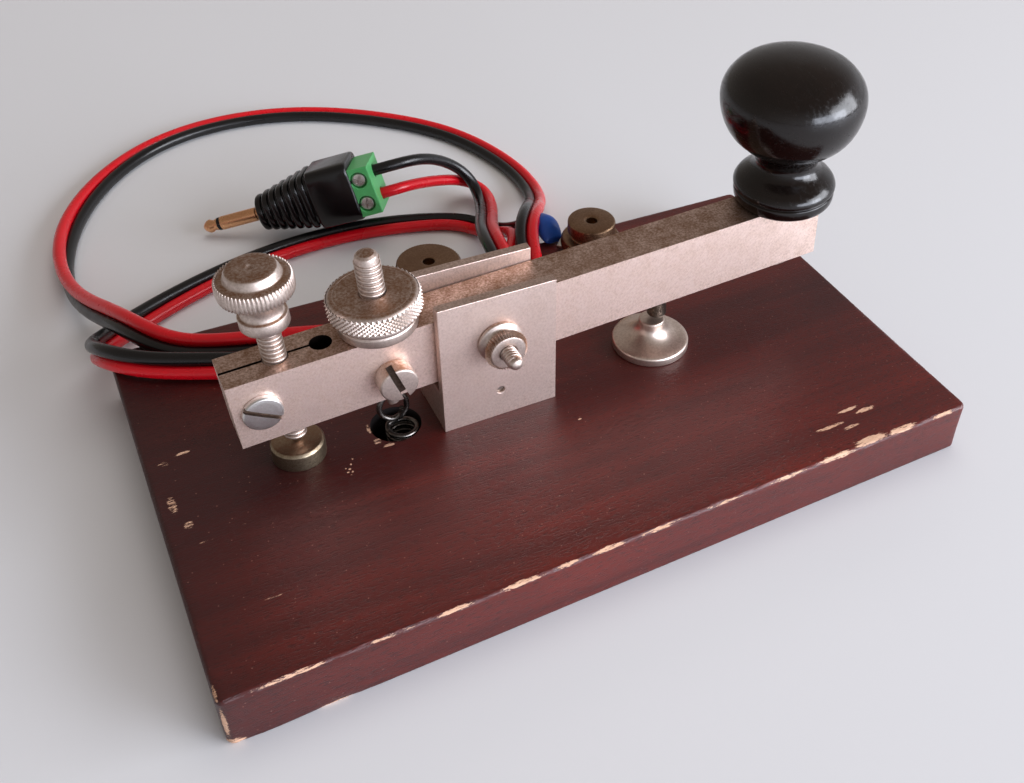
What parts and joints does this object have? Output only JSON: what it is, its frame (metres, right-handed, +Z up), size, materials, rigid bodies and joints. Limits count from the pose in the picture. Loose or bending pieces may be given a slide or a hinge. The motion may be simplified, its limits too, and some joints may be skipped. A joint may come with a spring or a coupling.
{
  "type": "straight telegraph key",
  "caption": "Manual telegraph key: a tilting metal lever with a round knob, adjustable contacts and a coil return spring on a wooden base, with a twin lead to a jack plug.",
  "frame": {"origin": "middle of the underside of the wooden base", "axes": "+X along the base towards the knob, +Y across the base towards the terminals, +Z up; the +X side is the operator's"},
  "size_m": [0.1606, 0.2037, 0.0762],
  "materials": {
    "lacquered_wood": "dark red-brown stain under thin lacquer",
    "satin_nickel": "satin nickel plate with fine wear",
    "bright_steel": "turned steel",
    "nickel_brass": "tarnished nickel plate over brass",
    "bare_brass": "bare rolled brass",
    "brown_brass": "brown tarnished knurled brass",
    "tinned_copper": "tin plate",
    "blue_vinyl": "soft blue vinyl",
    "spring_wire": "dark oiled spring wire",
    "black_bakelite": "polished black moulding with small scuffs",
    "twin_pvc": "glossy red and black wire pair",
    "black_pvc": "glossy black insulation",
    "red_pvc": "glossy red insulation",
    "plug_contact": "worn coppery plate",
    "plug_black": "glossy black moulding",
    "green_block": "semi-gloss green moulding"
  },
  "bodies": {
    "key_base": {"base_board": "lacquered_wood", "near_cheek": "satin_nickel", "far_cheek": "satin_nickel", "bracket_block": "satin_nickel", "bracket_dowels": "bright_steel", "bracket_screws": "bright_steel", "near_pivot_screw": "bright_steel", "far_pivot_screw": "bright_steel", "front_anvil": "nickel_brass", "rear_anvil": "nickel_brass", "anvil_nuts": "bright_steel", "front_strap": "bare_brass", "rear_strap": "bare_brass", "left_terminal_stud": "bare_brass", "right_terminal_stud": "bare_brass", "terminal_washers": "bare_brass", "left_lug": "tinned_copper", "right_lug": "tinned_copper", "left_sleeve": "blue_vinyl", "right_sleeve": "blue_vinyl", "return_spring": "spring_wire", "spring_anchor": "bright_steel", "cord_pair": "twin_pvc", "black_tail": "black_pvc", "red_tail": "red_pvc", "black_plug_tail": "black_pvc", "red_plug_tail": "red_pvc", "plug_tip": "plug_contact", "plug_insulator": "plug_black", "plug_sleeve": "plug_contact", "plug_body": "plug_black", "plug_block": "green_block", "block_screws": "bright_steel"},
    "lever": {"lever": "satin_nickel", "contact_pin": "bright_steel", "clamp_screw": "bright_steel", "key_screw": "satin_nickel", "knob": "black_bakelite", "knob_bush": "satin_nickel", "knob_screw": "bright_steel"},
    "gap_screw": {"gap_screw": "satin_nickel"},
    "tension_nut": {"tension_nut": "satin_nickel"},
    "tension_rod": {"tension_rod": "satin_nickel"},
    "near_lock_nut": {"near_lock_nut": "satin_nickel"},
    "far_lock_nut": {"far_lock_nut": "satin_nickel"},
    "left_terminal_nut": {"left_terminal_nut": "brown_brass"},
    "right_terminal_nut": {"right_terminal_nut": "brown_brass"}
  },
  "joints": [
    {"name": "lever_pivot", "type": "hinge", "parent": "key_base", "child": "lever", "pos_m": [-0.012, 0.001, 0.0314], "axis": [0, 1, 0], "range_deg": [0, 1.1], "stiffness_Nm_per_rad": 0.2, "springref_deg": -28.65, "deforming": ["return_spring"]},
    {"name": "gap_screw_turn", "type": "hinge", "parent": "lever", "child": "gap_screw", "pos_m": [-0.05145, 0.001, 0.02933], "axis": [-0.0523, 0, 0.9986], "range_deg": [-360, 360]},
    {"name": "tension_nut_turn", "type": "hinge", "parent": "lever", "child": "tension_nut", "pos_m": [-0.03247, 0.001, 0.03033], "axis": [-0.0523, 0, 0.9986], "range_deg": [-720, 360]},
    {"name": "tension_rod_slide", "type": "slide", "parent": "lever", "child": "tension_rod", "axis": [-0.0523, 0, 0.9986], "range_m": [-0.0008, 0.0016], "deforming": ["return_spring"]},
    {"name": "near_lock_nut_turn", "type": "hinge", "parent": "key_base", "child": "near_lock_nut", "pos_m": [-0.012, 0.001, 0.0314], "axis": [0, -1, 0], "range_deg": [0, 360]},
    {"name": "far_lock_nut_turn", "type": "hinge", "parent": "key_base", "child": "far_lock_nut", "pos_m": [-0.012, 0.001, 0.0314], "axis": [0, 1, 0], "range_deg": [0, 360]},
    {"name": "left_terminal_turn", "type": "hinge", "parent": "key_base", "child": "left_terminal_nut", "pos_m": [-0.0103, 0.0373, 0.012], "axis": [0, 0, 1], "range_deg": [0, 720]},
    {"name": "right_terminal_turn", "type": "hinge", "parent": "key_base", "child": "right_terminal_nut", "pos_m": [0.0305, 0.0373, 0.012], "axis": [0, 0, 1], "range_deg": [0, 720]}
  ],
  "couplings": [
    {"joint": "tension_nut_turn", "follows": "tension_rod_slide", "rad_per_m": -7854}
  ]
}
